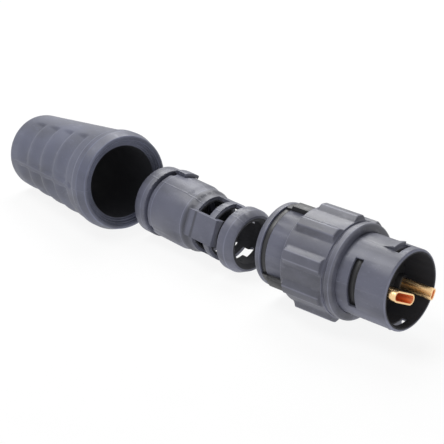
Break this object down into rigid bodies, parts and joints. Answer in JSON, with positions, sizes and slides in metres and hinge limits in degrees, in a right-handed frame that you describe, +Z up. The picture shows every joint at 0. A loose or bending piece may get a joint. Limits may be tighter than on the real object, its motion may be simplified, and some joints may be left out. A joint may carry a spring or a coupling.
{
  "type": "push pull circular connector",
  "caption": "Push pull circular cable connector taken apart in a row: plug body with sliding coupling ring, cable clamp and back shell.",
  "frame": {"origin": "centre of the footprint on the floor", "axes": "+X along the plug axis towards the mating end, +Z up"},
  "size_m": [0.1332, 0.0282, 0.0255],
  "materials": {
    "grey_plastic": "matte",
    "ring_plastic": "satin",
    "shell_plastic": "matte",
    "black_plastic": "satin",
    "dark_plastic": "matte",
    "rubber": "matte",
    "steel": "satin",
    "gold": "polished"
  },
  "bodies": {
    "plug": {"plug_shell": "grey_plastic", "key_ring": "black_plastic", "release_spring": "steel", "spring_seat": "steel", "contact_carrier": "black_plastic", "carrier_seal": "rubber", "face_seal": "rubber", "carrier_lock": "dark_plastic", "lock_ring": "steel", "power_contact": "gold", "power_clip": "steel", "second_contact": "gold", "second_clip": "steel", "clamp_cage": "grey_plastic", "slip_ring": "grey_plastic", "cable_seal": "rubber", "seal_washer": "dark_plastic", "back_shell": "shell_plastic", "mouth_seal": "rubber"},
    "coupling_ring": {"coupling_ring": "ring_plastic"}
  },
  "joints": [
    {"name": "ring_pull", "type": "slide", "parent": "plug", "child": "coupling_ring", "axis": [-1, 0, 0], "range_m": [0, 0.003], "stiffness_N_per_m": 300, "springref_m": -0.003, "deforming": ["release_spring"]}
  ]
}
